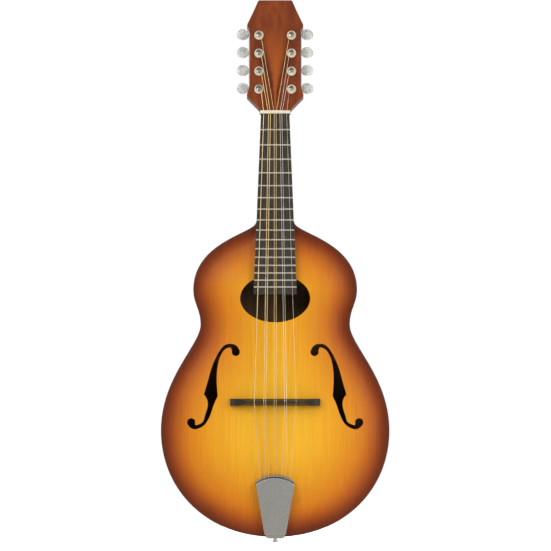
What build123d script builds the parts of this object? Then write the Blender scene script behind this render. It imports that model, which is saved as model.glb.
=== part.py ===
from build123d import *
import math
import os

import numpy as np

# Eight-string mandolin with a guitar-shaped arched body, an oval hole and two f-holes.
# Millimetres. +Z runs up the neck, -Y is the front (the side with the strings), +X is the treble side.
# The origin is on the centreline at the nut, where the glue face of the neck meets the plane
# of the body's upper rim. The body's rim plane is Y = 0; the neck leans back from it, and the
# head leans back from the neck.

# ---------------------------------------------------------------- driving dimensions
SCALE_LENGTH = 352.4        # nut to bridge, 13 7/8 in
FRET_COUNT = 16

# body outline, seen from the front; distances below the nut, and half-widths
BODY_END = 517.4
LOWER_BOUT_AT = 387.3
WAIST_AT = 257.5
UPPER_BOUT_AT = 215.2
SHOULDER_AT = 132.5         # where the body meets the heel
LOWER_BOUT_HALF = 139.7
WAIST_HALF = 91.2
UPPER_BOUT_HALF = 100.1
SHOULDER_HALF = 23.5
# lengths of the curve handles at each of those stations, which set how full the curves are
END_HANDLE = 84.0
LOWER_BOUT_HANDLES = (72.0, 66.0)
WAIST_HANDLES = (25.0, 18.5)
UPPER_BOUT_HANDLES = (16.5, 60.0)
SHOULDER_HANDLE = 13.0

RIB_HEIGHT = 44.0
RIB_THICKNESS = 2.2
PLATE_THICKNESS = 4.0
ARCH_HEIGHT = 12.0
FLAT_RIM = 12.0             # flat border of each plate, where it is glued
PLATE_EDGE_ROUND = 1.2
LINING_WIDTH = 6.0
LINING_HEIGHT = 9.0
NECK_BLOCK_HALF = 30.0
NECK_BLOCK_LENGTH = 38.0
TAIL_BLOCK_HALF = 24.0
TAIL_BLOCK_LENGTH = 18.0

SOUND_HOLE_AT = 225.5
SOUND_HOLE_HALF_WIDTH = 42.8
SOUND_HOLE_HALF_LENGTH = 29.3
F_HOLE_FROM_CENTRE = 78.7   # middle of the waist of each f-hole
F_HOLE_AT = 344.0
F_HOLE_EYE_RADIUS = 5.0

BRACE_WIDTH = 7.0
BRACE_DEPTH = 9.0
TONE_BAR_FROM_CENTRE = 33.0
TONE_BAR_LENGTH = 150.0
CROSS_BRACE_AT = 184.0
CROSS_BRACE_LENGTH = 112.0
BACK_BRACE_STATIONS = (205.0, 300.0, 400.0)

NECK_TILT = 4.0             # degrees back from the body's plane
HEAD_TILT = 12.0            # degrees further back from the neck
BOARD_WIDTH_AT_NUT = 34.8
BOARD_WIDTH_AT_END = 53.0
BOARD_LENGTH = 221.5
BOARD_THICKNESS = 5.0
NECK_DEPTH = 14.0           # wood under the board at the nut
NECK_DEPTH_GAIN = 3.0       # more of it towards the body
HEEL_START = 0.60           # share of the neck's length at which the heel begins
HEEL_DEPTH = 72.0
HEEL_PROUD = 2.0            # how far the heel stands behind the ribs, beside the back plate
HEEL_CAP_THICKNESS = 2.0
TENON_LENGTH = 12.0
TENON_HALF_FACE = 9.0
TENON_HALF_ROOT = 12.0
TENON_SHORT = 8.0           # how far the dovetail stops short of the back
TONGUE_LENGTH = 62.0        # how far the neck's tongue reaches over the body
NECK_BAR_SIDE = 6.0
FRET_WIDTH = 2.0
FRET_HEIGHT = 1.0
FRET_TANG_WIDTH = 0.6
FRET_TANG_DEPTH = 1.8
NUT_LENGTH = 4.0
NUT_OVERHANG = 1.1          # each side, past the board
NUT_ABOVE_BOARD = 2.0

HEAD_THICKNESS = 13.0
HEAD_VENEER_THICKNESS = 2.0
HEAD_LENGTH = 140.7
HEAD_TOP_HALF = 20.5
HEAD_SHOULDER_AT = 108.5
HEAD_SHOULDER_HALF = 34.8
HEAD_WAIST_HALF = 31.0
HEAD_SHOULDER_FLARE = 6.0   # height over which the waist widens to the shoulder
HEAD_FOOT_FLARE = 12.0
HEAD_FOOT_AT = 19.0
HEAD_FOOT_HALF = 35.0
HEAD_PAST_NUT = 0.5         # each side
HEAD_CORNER_ROUND = 3.0
HEAD_TAPER = 5.5            # each side, over the top slant
HEAD_TOP_SLANT = 13.0

TUNERS_PER_SIDE = 4
TUNER_PITCH = 23.0
FIRST_POST_AT = 26.7
POST_FROM_CENTRE = 19.9
POST_RADIUS = 2.6
POST_ABOVE_FACE = 9.0
STRING_HOLE_RADIUS = 0.7
STRING_ABOVE_FACE = 4.4     # height of the string on the post
BUSHING_RADIUS = 4.0
BUSHING_FLANGE_RADIUS = 5.7
BUSHING_FLANGE_HEIGHT = 1.5
BUSHING_DEPTH = 8.0
RUNNING_CLEARANCE = 0.08
TUNER_PLATE_THICKNESS = 1.2
TUNER_PLATE_HALF_WIDTH = 7.0
TUNER_PLATE_PROUD = 1.2     # past the waist of the head
TUNER_PLATE_MARGIN = 3.4    # from the end screws to the ends of the plate
GEAR_TEETH = 15
GEAR_RADIUS = 4.6
GEAR_ROOT_RADIUS = 3.7
GEAR_THICKNESS = 4.2
GEAR_LIFT = 0.8             # gap between the plate and the gear
WORM_RADIUS = 2.0
WORM_HALF_LENGTH = 3.6
WORM_GAP = 0.1              # between the tips of the gear and the worm
SHAFT_RADIUS = 1.5
EAR_THICKNESS = 1.4
EAR_HALF_WIDTH = 3.0
BUTTON_RADIUS = 7.2
BUTTON_THICKNESS = 5.2
BUTTON_GAP = 1.1            # between the waist of the head and the button
BUTTON_SOCKET_DEPTH = 5.0
BUTTON_COLLAR_RADIUS = 2.3
BUTTON_COLLAR_LENGTH = 2.6
SCREW_RADIUS = 1.1
SCREW_LENGTH = 9.0
SCREW_HEAD_RADIUS = 2.3
SCREW_HEAD_HEIGHT = 1.2

# strings, bass to treble: (position in half courses, diameter); courses are 1-2-2-2-1
STRING_COURSES = (
    ((0.0,), 1.04),
    ((-0.5, 0.5), 0.84),
    ((-0.5, 0.5), 0.62),
    ((-0.5, 0.5), 0.42),
    ((0.0,), 0.30),
)
PAIR_GAP = 2.4
COURSE_PITCH_AT_NUT = 7.0
COURSE_PITCH_AT_BRIDGE = 12.8
ACTION_AT_NUT = 1.7         # string centre above the board
ACTION_AT_BRIDGE = 3.5
STRING_BEND_RADIUS = 6.0
WINDING_HEIGHT = 3.0

BRIDGE_LENGTH = 110.0
BRIDGE_WIDTH = 8.6
BRIDGE_CREST_HALF = 34.0
BRIDGE_CREST_WIDTH = 3.0
BRIDGE_TIP_HEIGHT = 6.0
BRIDGE_ARCH_HALF = 27.0
BRIDGE_ARCH_RISE = 5.0
BRIDGE_TIP_SINK = 2.0       # the tips reach this far below the crown of the arch
BRIDGE_BROW = 8.0           # where the curve from crest to tip passes its middle height
BRIDGE_BEVEL_SHARE = 0.6    # share of the height that the sloping sides take

TAIL_SLOPE = 8.5            # degrees that the tailpiece rises towards the bridge
TAIL_FOOT_LIFT = 2.4        # tailpiece's underside above the rim at the body's end
TAILPIECE_LENGTH = 77.5
TAILPIECE_HALF_AT_TOP = 25.8
TAILPIECE_HALF_AT_FOOT = 12.4
TAILPIECE_CROWN = 8.5       # rise of the curved upper end
SHEET_THICKNESS = 1.2
COVER_SHEET = 0.8
COVER_FOOT_AT = 4.0
COVER_HEIGHT = 5.6
COVER_GAP = 0.35            # each side, between cover and base
COVER_SLOT = 1.6            # open gap between the cover and the base's lip
LIP_THICKNESS = 1.6
LIP_HEIGHT = 5.2
HOOK_RADIUS = 0.9
HOOK_HEIGHT = 2.6
HOOK_AT = 50.0
HOOK_PITCH = 4.8
FLANGE_SHORT = 6.0          # how far the flange stops short of the back
TAIL_SCREW_SPREAD = 10.0    # screws lie this far either side of the end pin
TAIL_SCREW_HALF = 6.0
FLANGE_HALF_WIDTH = 11.0
END_PIN_SHANK_RADIUS = 3.2
END_PIN_SHANK_LENGTH = 14.0
END_PIN_COLLAR_RADIUS = 4.4
END_PIN_COLLAR_LENGTH = 1.2
END_PIN_NECK_RADIUS = 2.6
END_PIN_NECK_LENGTH = 1.8
END_PIN_HEAD_RADIUS = 3.7
END_PIN_HEAD_LENGTH = 2.4

BIG = 800.0                 # larger than the object, for cutting half-spaces

# places that follow from those sizes
HEEL_END = RIB_HEIGHT + HEEL_PROUD
TENON_DEPTH = RIB_HEIGHT - TENON_SHORT
END_PIN_AT = RIB_HEIGHT / 2
FLANGE_LENGTH = RIB_HEIGHT - FLANGE_SHORT
NUT_HALF = BOARD_WIDTH_AT_NUT / 2 + NUT_OVERHANG
HEAD_NUT_HALF = NUT_HALF + HEAD_PAST_NUT
BUTTON_FROM_CENTRE = HEAD_WAIST_HALF + BUTTON_GAP + BUTTON_RADIUS
# the worm shaft crosses on the upper side of each gear, a little behind the plate
SHAFT_RISE = GEAR_RADIUS + WORM_GAP + WORM_RADIUS
SHAFT_DEPTH = HEAD_THICKNESS + TUNER_PLATE_THICKNESS + GEAR_LIFT + GEAR_THICKNESS / 2

# ---------------------------------------------------------------- frames
neck_frame = Location((0, 0, 0), (-NECK_TILT, 0, 0))
head_frame = neck_frame * Location((0, 0, NUT_LENGTH), (-HEAD_TILT, 0, 0))
# the tailpiece's frame: +Z runs up the sloping plate, -Y is its outer face
tail_frame = Location(
    (0, -PLATE_THICKNESS - TAIL_FOOT_LIFT, -BODY_END), (TAIL_SLOPE, 0, 0)
)


def place(frame, x, y, z):
    """A point of a tilted frame, in the model's own frame."""
    return (frame * Pos(x, y, z)).position


def slab(sketch, y_low, y_high):
    """A sketch drawn in (x, z), made solid between two planes of constant Y."""
    return Pos(0, y_high, 0) * (Plane.XZ * extrude(sketch, amount=y_high - y_low))


def block(x, y, z):
    """A box given by its (low, high) pair along each axis."""
    size = [high - low for low, high in (x, y, z)]
    centre = [(high + low) / 2 for low, high in (x, y, z)]
    return Pos(*centre) * Box(*size)


def rod(radius, y_low, y_high, x=0.0, z=0.0):
    """A cylinder along Y."""
    middle = (y_low + y_high) / 2
    return Pos(x, middle, z) * Rot(90, 0, 0) * Cylinder(radius, y_high - y_low)


def cross_rod(radius, x_low, x_high, y=0.0, z=0.0):
    """A cylinder along X."""
    middle = (x_low + x_high) / 2
    return Pos(middle, y, z) * Rot(0, 90, 0) * Cylinder(radius, x_high - x_low)


# ---------------------------------------------------------------- body outline
# Four cubic curves run up the treble side, from the end of the body to the heel.
OUTLINE_CURVES = (
    (
        (0, -BODY_END),
        (END_HANDLE, -BODY_END),
        (LOWER_BOUT_HALF, -LOWER_BOUT_AT - LOWER_BOUT_HANDLES[0]),
        (LOWER_BOUT_HALF, -LOWER_BOUT_AT),
    ),
    (
        (LOWER_BOUT_HALF, -LOWER_BOUT_AT),
        (LOWER_BOUT_HALF, -LOWER_BOUT_AT + LOWER_BOUT_HANDLES[1]),
        (WAIST_HALF, -WAIST_AT - WAIST_HANDLES[0]),
        (WAIST_HALF, -WAIST_AT),
    ),
    (
        (WAIST_HALF, -WAIST_AT),
        (WAIST_HALF, -WAIST_AT + WAIST_HANDLES[1]),
        (UPPER_BOUT_HALF, -UPPER_BOUT_AT - UPPER_BOUT_HANDLES[0]),
        (UPPER_BOUT_HALF, -UPPER_BOUT_AT),
    ),
    (
        (UPPER_BOUT_HALF, -UPPER_BOUT_AT),
        (UPPER_BOUT_HALF, -UPPER_BOUT_AT + UPPER_BOUT_HANDLES[1]),
        (SHOULDER_HALF, -SHOULDER_AT - SHOULDER_HANDLE),
        (SHOULDER_HALF, -SHOULDER_AT),
    ),
)


def curve_points(curve, samples, inset=0.0):
    """Points along one cubic curve, moved in towards the middle of the body by an inset."""
    t = np.linspace(0, 1, samples)[:, None]
    a, b, c, d = [np.array(point, dtype=float) for point in curve]
    points = (1 - t) ** 3 * a + 3 * (1 - t) ** 2 * t * b + 3 * (1 - t) * t**2 * c + t**3 * d
    slope = (1 - t) ** 2 * (b - a) + 2 * (1 - t) * t * (c - b) + t**2 * (d - c)
    inward = np.column_stack([-slope[:, 1], slope[:, 0]])
    return points + inset * inward / np.linalg.norm(inward, axis=1)[:, None]


def outline_points():
    """Points along the treble side of the outline, from the body's end to the heel."""
    return np.vstack([curve_points(curve, 60) for curve in OUTLINE_CURVES])


def half_width(z):
    """Half-width of the body at a height z."""
    points = outline_points()
    return float(np.interp(z, points[:, 1], points[:, 0]))


def side_edge(curve, inset, side):
    """One stretch of the outline as an edge, on the bass (-1) or the treble (+1) side."""
    if not inset:
        return Bezier(*[(side * x, z) for x, z in curve])
    points = [(side * x, z) for x, z in curve_points(curve, 11, inset)]
    ends = [Vector(*curve[1]) - Vector(*curve[0]), Vector(*curve[3]) - Vector(*curve[2])]
    ends = [end.normalized() for end in ends]
    return Spline(points, tangents=[(side * end.X, end.Y) for end in ends])


def body_face(inset=0.0):
    """The body's outline as a face in (x, z), taken in all round by an inset."""
    sides = [side_edge(curve, inset, side) for curve in OUTLINE_CURVES for side in (-1, 1)]
    half = SHOULDER_HALF - inset
    return make_face(sides + [Line((-half, -SHOULDER_AT), (half, -SHOULDER_AT))])


def side_strip(near, far, side):
    """A strip of one side's wall in (x, z), between two insets from the outline."""
    edges = [side_edge(curve, inset, side) for inset in (near, far) for curve in OUTLINE_CURVES]
    foot = Line((0, -BODY_END + near), (0, -BODY_END + far))
    heel_x = [side * (SHOULDER_HALF - inset) for inset in (near, far)]
    heel = Line((heel_x[0], -SHOULDER_AT), (heel_x[1], -SHOULDER_AT))
    return make_face(edges + [foot, heel])


# ---------------------------------------------------------------- arched plates
def arch(x, z, edge_points):
    """Rise of the arch at (x, z): none at the flat rim, steep beside it, level in the middle."""
    distance = np.sqrt(((edge_points - [abs(x), z]) ** 2).sum(axis=1)).min()
    inside = -BODY_END < z < -SHOULDER_AT and abs(x) < half_width(z)
    share = ((distance if inside else -distance) - FLAT_RIM) / (LOWER_BOUT_HALF - FLAT_RIM)
    return ARCH_HEIGHT * (1 - (1 - share) ** 2)


def make_arch_space():
    """The space that the arch adds above the rim plane, and all that lies behind the arch."""
    margin, columns, rows = 12.0, 21, 29
    end_line = np.array([(x, -SHOULDER_AT) for x in np.linspace(0, SHOULDER_HALF, 12)])
    edge_points = np.vstack([outline_points(), end_line])
    xs = np.linspace(-LOWER_BOUT_HALF - margin, LOWER_BOUT_HALF + margin, columns)
    zs = np.linspace(-BODY_END - margin, -SHOULDER_AT + margin, rows)
    grid = [[Vector(x, -arch(x, z, edge_points), z) for z in zs] for x in xs]
    surface = Face.make_surface_from_array_of_points(grid, tol=0.05)
    under = Solid.extrude(surface, Vector(0, 4 * ARCH_HEIGHT + BRACE_DEPTH, 0))
    return under & block((-BIG, BIG), (-BIG, 0), (-BIG, BIG)), under


def make_plate_blank(arch_space):
    """A carved plate without holes, outer side towards -Y."""
    rim = slab(body_face(), -PLATE_THICKNESS, 0)
    edges = rim.faces().sort_by(Axis.Y)[0].edges().filter_by(
        lambda e: abs(e.center().Z + SHOULDER_AT) > 1
    )
    rim = fillet(edges, PLATE_EDGE_ROUND)
    return rim + Pos(0, -PLATE_THICKNESS, 0) * arch_space - arch_space


def f_hole_face():
    """The treble f-hole in (x, z): two curved limbs, a notched waist and a round eye at each end."""

    def at(x, z):
        return (F_HOLE_FROM_CENTRE + x, -F_HOLE_AT + z)

    notch_out, notch_in = at(8.5, 1.0), at(-8.5, -1.0)
    upper_eye, lower_eye = at(-30.6, 53.0), at(24.0, -33.0)
    outer_upper = Spline(
        [at(-24.5, 62.8), at(-10.6, 54.0), at(-0.4, 32.0), notch_out],
        tangents=[(1, 0.15), (0.45, -1.4)],
    )
    inner_upper = Spline(
        [notch_in, at(-7.4, 26.0), at(-12.0, 48.4), at(-24.0, 58.6)],
        tangents=[(0.1, 1), (-1, 0.1)],
    )
    outer_lower = Spline(
        [notch_out, at(3.6, -10.0), at(7.4, -26.0), at(18.5, -36.6)],
        tangents=[(-0.8, -0.8), (1, -0.2)],
    )
    inner_lower = Spline(
        [at(18.5, -41.6), at(3.8, -31.0), at(-3.6, -12.0), notch_in],
        tangents=[(-1, 0.2), (-0.5, 1)],
    )
    limbs = make_face(
        [
            outer_upper,
            outer_lower,
            Line(at(18.5, -36.6), at(18.5, -41.6)),
            inner_lower,
            inner_upper,
            Line(at(-24.0, 58.6), at(-24.5, 62.8)),
        ]
    )
    upper_link = make_face(
        [
            Line(at(-24.5, 62.8), at(-24.0, 58.6)),
            Line(at(-24.0, 58.6), at(-27.0, 53.0)),
            Line(at(-27.0, 53.0), at(-34.5, 56.2)),
            ThreePointArc(at(-34.5, 56.2), at(-30.6, 61.2), at(-24.5, 62.8)),
        ]
    )
    lower_link = make_face(
        [
            Line(at(18.5, -36.6), at(18.5, -41.6)),
            ThreePointArc(at(18.5, -41.6), at(24.6, -39.8), at(28.2, -35.6)),
            Line(at(28.2, -35.6), at(20.6, -33.0)),
            Line(at(20.6, -33.0), at(18.5, -36.6)),
        ]
    )
    eyes = Pos(*upper_eye) * Circle(F_HOLE_EYE_RADIUS) + Pos(*lower_eye) * Circle(
        F_HOLE_EYE_RADIUS
    )
    return limbs + upper_link + lower_link + eyes


def make_top_plate(blank):
    hole = Pos(0, -SOUND_HOLE_AT) * Ellipse(SOUND_HOLE_HALF_WIDTH, SOUND_HOLE_HALF_LENGTH)
    reach = ARCH_HEIGHT + 2 * PLATE_THICKNESS
    plate = blank - slab(hole, -reach, reach)
    f_hole = slab(f_hole_face(), -reach, reach)
    return plate - f_hole - mirror(f_hole, about=Plane.YZ)


def to_back(shape):
    """Turns a piece of the front over to the back of the body."""
    return mirror(shape, about=Plane.XZ.offset(-RIB_HEIGHT / 2))


# ---------------------------------------------------------------- body frame
def make_ribs():
    """The two bent sides, butted at the end of the body and open where the heel is joined."""
    cuts = [end_pin_hole(), *tail_screw_holes()]
    return [slab(side_strip(0, RIB_THICKNESS, side), 0, RIB_HEIGHT) - cuts for side in (-1, 1)]


def tenon():
    """Dovetail that joins the heel to the neck block."""
    root = -SHOULDER_AT - TENON_LENGTH
    shape = Polygon(
        (-TENON_HALF_FACE, -SHOULDER_AT),
        (-TENON_HALF_ROOT, root),
        (TENON_HALF_ROOT, root),
        (TENON_HALF_FACE, -SHOULDER_AT),
        align=None,
    )
    return slab(shape, 0, TENON_DEPTH)


def make_neck_block():
    """Block inside the neck end, with the mortise for the heel's dovetail."""
    solid = slab(body_face(RIB_THICKNESS), 0, RIB_HEIGHT) & block(
        (-NECK_BLOCK_HALF, NECK_BLOCK_HALF),
        (-1, RIB_HEIGHT + 1),
        (-SHOULDER_AT - NECK_BLOCK_LENGTH, -SHOULDER_AT + 1),
    )
    return solid - tenon()


def make_tail_block():
    """Block inside the tail end, bored for the end pin and the tailpiece's screws."""
    solid = slab(body_face(RIB_THICKNESS), 0, RIB_HEIGHT) & block(
        (-TAIL_BLOCK_HALF, TAIL_BLOCK_HALF),
        (-1, RIB_HEIGHT + 1),
        (-BODY_END, -BODY_END + RIB_THICKNESS + TAIL_BLOCK_LENGTH),
    )
    return solid - [end_pin_hole(), *tail_screw_holes()]


def make_linings():
    """Strips that widen the glue joint between the sides and each plate, block to block."""
    clear = block((-BIG, BIG), (-BIG, BIG), (-SHOULDER_AT - NECK_BLOCK_LENGTH, BIG)) & block(
        (-NECK_BLOCK_HALF, NECK_BLOCK_HALF), (-BIG, BIG), (-BIG, BIG)
    )
    tail = block(
        (-TAIL_BLOCK_HALF, TAIL_BLOCK_HALF),
        (-BIG, BIG),
        (-BIG, -BODY_END + RIB_THICKNESS + TAIL_BLOCK_LENGTH),
    )
    strips = []
    for side in (-1, 1):
        face = side_strip(RIB_THICKNESS, RIB_THICKNESS + LINING_WIDTH, side)
        for low in (0, RIB_HEIGHT - LINING_HEIGHT):
            strips.append(slab(face, low, low + LINING_HEIGHT) - [clear, tail])
    return strips


def bar_on_plate(sketch, under_arch):
    """A brace glued to the inside of an arched plate, as deep all along."""
    fitted = slab(sketch, -2 * ARCH_HEIGHT, BRACE_DEPTH) & under_arch
    return fitted - Pos(0, BRACE_DEPTH, 0) * under_arch


def make_top_braces(under_arch):
    middle = -(F_HOLE_AT + SOUND_HOLE_AT + SOUND_HOLE_HALF_LENGTH) / 2 - TONE_BAR_LENGTH / 4
    tone_bar = Pos(TONE_BAR_FROM_CENTRE, middle) * Rectangle(BRACE_WIDTH, TONE_BAR_LENGTH)
    cross = Pos(0, -CROSS_BRACE_AT) * Rectangle(CROSS_BRACE_LENGTH, BRACE_WIDTH)
    bar = bar_on_plate(tone_bar, under_arch)
    return [bar, mirror(bar, about=Plane.YZ), bar_on_plate(cross, under_arch)]


def make_back_braces(under_arch):
    braces = []
    for station in BACK_BRACE_STATIONS:
        edges = (-station - BRACE_WIDTH / 2, -station + BRACE_WIDTH / 2)
        half = min(half_width(z) for z in edges) - RIB_THICKNESS - LINING_WIDTH - 2
        sketch = Pos(0, -station) * Rectangle(2 * half, BRACE_WIDTH)
        braces.append(to_back(bar_on_plate(sketch, under_arch)))
    return braces


# ---------------------------------------------------------------- neck and fingerboard
def board_half(z):
    """Half-width of the fingerboard at a distance -z below the nut, in the neck's frame."""
    share = -z / BOARD_LENGTH
    return (BOARD_WIDTH_AT_NUT + (BOARD_WIDTH_AT_END - BOARD_WIDTH_AT_NUT) * share) / 2


def neck_section(z, depth):
    """Half-ellipse of wood under the board, in the neck's frame."""
    half = board_half(z)
    curve = EllipticalCenterArc((0, 0), half, depth, 0, arc_size=180)
    return Pos(0, 0, z) * make_face([curve, Line((-half, 0), (half, 0))])


def neck_depth(share):
    """Nearly even along the neck, then deepening in a smooth curve to the heel."""
    heel = max(0.0, share - HEEL_START) / (1 - HEEL_START)
    return NECK_DEPTH + NECK_DEPTH_GAIN * abs(share) + HEEL_DEPTH * heel**1.7


def make_neck_shaft():
    """The rounded neck and its deepening heel, which runs on past the body's end to be cut there."""
    sections = 17
    end = -SHOULDER_AT / math.cos(math.radians(NECK_TILT)) - 6
    shares = [-0.06 + 1.06 * k / (sections - 1) for k in range(sections)]
    return loft([neck_section(end * share, neck_depth(share)) for share in shares])


def make_neck(arch_space):
    before_head = head_frame * block((-BIG, BIG), (-BIG, 0), (0, BIG))
    shaft = neck_frame * make_neck_shaft() - before_head
    shaft = shaft & block((-BIG, BIG), (-BIG, HEEL_END - HEEL_CAP_THICKNESS), (-SHOULDER_AT, BIG))
    tongue_end = -SHOULDER_AT - TONGUE_LENGTH
    half_at_end = board_half(tongue_end) - 0.5
    half_at_heel = board_half(-SHOULDER_AT) - 0.5
    tongue = slab(
        Polygon(
            (-half_at_heel, -SHOULDER_AT),
            (-half_at_end, tongue_end),
            (half_at_end, tongue_end),
            (half_at_heel, -SHOULDER_AT),
            align=None,
        ),
        -3 * PLATE_THICKNESS - ARCH_HEIGHT,
        -PLATE_THICKNESS,
    )
    tongue = tongue & neck_frame * block((-BIG, BIG), (0, BIG), (-BIG, BIG))
    tongue = tongue - Pos(0, -PLATE_THICKNESS, 0) * arch_space
    wood = shaft + tongue + tenon() + head_frame * head_wood()
    wood = wood - neck_frame * neck_bar_space() - neck_frame * nut_seat()
    return wood - [head_frame * cut for cut in head_cuts()]


def heel_cap():
    """Thin plate on the foot of the heel, with the heel's own outline there."""
    foot = neck_frame * make_neck_shaft()
    cap_layer = (HEEL_END - HEEL_CAP_THICKNESS, HEEL_END)
    return foot & block((-BIG, BIG), cap_layer, (-SHOULDER_AT, BIG))


def neck_bar_space():
    """Groove under the board for the square steel bar that stiffens the neck."""
    half = NECK_BAR_SIDE / 2
    return block((-half, half), (0, NECK_BAR_SIDE), (-SHOULDER_AT + 4, -8))


def nut_seat():
    """Everything in front of the glue face along the nut, where the head would cover it."""
    return block((-BIG, BIG), (-BIG, 0), (-1, NUT_LENGTH))


def make_fingerboard():
    half_0, half_1 = board_half(0), board_half(-BOARD_LENGTH)
    outline = Polygon(
        (-half_0, 0), (-half_1, -BOARD_LENGTH), (half_1, -BOARD_LENGTH), (half_0, 0), align=None
    )
    board = slab(outline, -BOARD_THICKNESS, 0)
    slots = [
        block(
            (-BIG, BIG),
            (-BOARD_THICKNESS - 1, -BOARD_THICKNESS + FRET_TANG_DEPTH),
            (z - FRET_TANG_WIDTH / 2, z + FRET_TANG_WIDTH / 2),
        )
        for z in fret_places()
    ]
    return neck_frame * (board - slots)


def fret_places():
    """Equal temperament: each fret shortens the string by the twelfth root of two."""
    return [-SCALE_LENGTH * (1 - 2 ** (-n / 12)) for n in range(1, FRET_COUNT + 1)]


def make_frets():
    frets = []
    for z in fret_places():
        half = board_half(z)
        crown = cross_rod(FRET_WIDTH / 2, -half, half, -BOARD_THICKNESS, z)
        crown = crown & block((-BIG, BIG), (-BOARD_THICKNESS - FRET_HEIGHT, -BOARD_THICKNESS), (-BIG, BIG))
        tang = block(
            (-half, half),
            (-BOARD_THICKNESS, -BOARD_THICKNESS + FRET_TANG_DEPTH),
            (z - FRET_TANG_WIDTH / 2, z + FRET_TANG_WIDTH / 2),
        )
        frets.append(neck_frame * (crown + tang))
    return frets


def make_nut(string_cuts):
    top = -BOARD_THICKNESS - NUT_ABOVE_BOARD
    blank = block((-NUT_HALF, NUT_HALF), (top, 0), (0, NUT_LENGTH))
    blank = fillet(blank.faces().sort_by(Axis.Y)[0].edges().filter_by(Axis.X), 1.0)
    return neck_frame * blank - string_cuts


# ---------------------------------------------------------------- head
def head_outline():
    corners = [
        (HEAD_NUT_HALF, -2.0),
        (HEAD_NUT_HALF, 2.0),
        (HEAD_FOOT_HALF, HEAD_FOOT_AT),
        (HEAD_WAIST_HALF, HEAD_FOOT_AT + HEAD_FOOT_FLARE),
        (HEAD_WAIST_HALF, HEAD_SHOULDER_AT - HEAD_SHOULDER_FLARE),
        (HEAD_SHOULDER_HALF, HEAD_SHOULDER_AT),
        (HEAD_TOP_HALF + HEAD_TAPER, HEAD_LENGTH - HEAD_TOP_SLANT),
        (HEAD_TOP_HALF, HEAD_LENGTH),
    ]
    left = [(-x, z) for x, z in reversed(corners)]
    face = make_face(Polyline(*corners, *left, close=True))
    rounded = face.vertices().filter_by(lambda v: v.Y > 1)
    return fillet(rounded, HEAD_CORNER_ROUND)


def head_wood():
    return slab(head_outline(), 0, HEAD_THICKNESS)


def head_cuts():
    """Holes through the head for the posts, bushings and plate screws."""
    cuts = []
    for x, z in post_places():
        cuts.append(rod(POST_RADIUS + 0.6, -1, HEAD_THICKNESS + 1, x, z))
        cuts.append(rod(BUSHING_RADIUS, -1, BUSHING_DEPTH - HEAD_VENEER_THICKNESS, x, z))
    for x, z in plate_screws():
        low = HEAD_THICKNESS + TUNER_PLATE_THICKNESS - SCREW_LENGTH
        cuts.append(rod(SCREW_RADIUS, low, HEAD_THICKNESS + 1, x, z))
    return cuts


def make_head_veneer():
    trimmed = head_outline() & Pos(0, BIG / 2) * Rectangle(BIG, BIG)
    veneer = slab(trimmed, -HEAD_VENEER_THICKNESS, 0)
    holes = [rod(BUSHING_RADIUS, -BIG, BIG, x, z) for x, z in post_places()]
    return head_frame * (veneer - holes) - neck_frame * nut_seat()


# ---------------------------------------------------------------- tuning machines
def post_places():
    """Bass side from the nut upwards, then the treble side."""
    rows = [FIRST_POST_AT + TUNER_PITCH * k for k in range(TUNERS_PER_SIDE)]
    return [(side * POST_FROM_CENTRE, z) for side in (-1, 1) for z in rows]


def plate_screws():
    """One screw between each pair of gears and one at each end of the plate."""
    rows = [FIRST_POST_AT - GEAR_RADIUS - SCREW_HEAD_RADIUS - 0.8]
    middle = FIRST_POST_AT + (TUNER_PITCH + SHAFT_RISE) / 2
    rows += [middle + TUNER_PITCH * k for k in range(TUNERS_PER_SIDE - 1)]
    last_shaft = FIRST_POST_AT + TUNER_PITCH * (TUNERS_PER_SIDE - 1) + SHAFT_RISE
    rows.append(last_shaft + EAR_HALF_WIDTH + SCREW_HEAD_RADIUS + 0.4)
    inward = POST_FROM_CENTRE - 3.0
    return [(side * inward, z) for side in (-1, 1) for z in rows]


def make_tuner_plates():
    """A strip along each side of the head's back, with two ears for each worm shaft."""
    plates = []
    rows = [z for _, z in plate_screws()]
    low, high = min(rows) - TUNER_PLATE_MARGIN, max(rows) + TUNER_PLATE_MARGIN
    for side in (-1, 1):
        edge = HEAD_WAIST_HALF + TUNER_PLATE_PROUD
        inner = POST_FROM_CENTRE - TUNER_PLATE_HALF_WIDTH
        x_low, x_high = sorted((side * inner, side * edge))
        outline = Pos((x_low + x_high) / 2, (low + high) / 2) * RectangleRounded(
            x_high - x_low, high - low, 2.0
        )
        back = HEAD_THICKNESS + TUNER_PLATE_THICKNESS
        plate = slab(outline, HEAD_THICKNESS, back)
        cuts = []
        for x, z in post_places():
            if x * side < 0:
                continue
            z_shaft = z + SHAFT_RISE
            for reach in (-WORM_HALF_LENGTH - 0.3 - EAR_THICKNESS, WORM_HALF_LENGTH + 0.3):
                plate += block(
                    (x + reach, x + reach + EAR_THICKNESS),
                    (HEAD_THICKNESS, SHAFT_DEPTH + SHAFT_RADIUS + 1.2),
                    (z_shaft - EAR_HALF_WIDTH + 0.6, z_shaft + EAR_HALF_WIDTH),
                )
            cuts.append(
                cross_rod(
                    SHAFT_RADIUS + RUNNING_CLEARANCE, x - 12, x + 12, SHAFT_DEPTH, z_shaft
                )
            )
            cuts.append(rod(POST_RADIUS + RUNNING_CLEARANCE, HEAD_THICKNESS - 1, back + 1, x, z))
        cuts += [rod(SCREW_RADIUS, HEAD_THICKNESS - 1, back + 1, x, z) for x, z in plate_screws()]
        plates.append(head_frame * (plate - cuts))
    return plates


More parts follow.
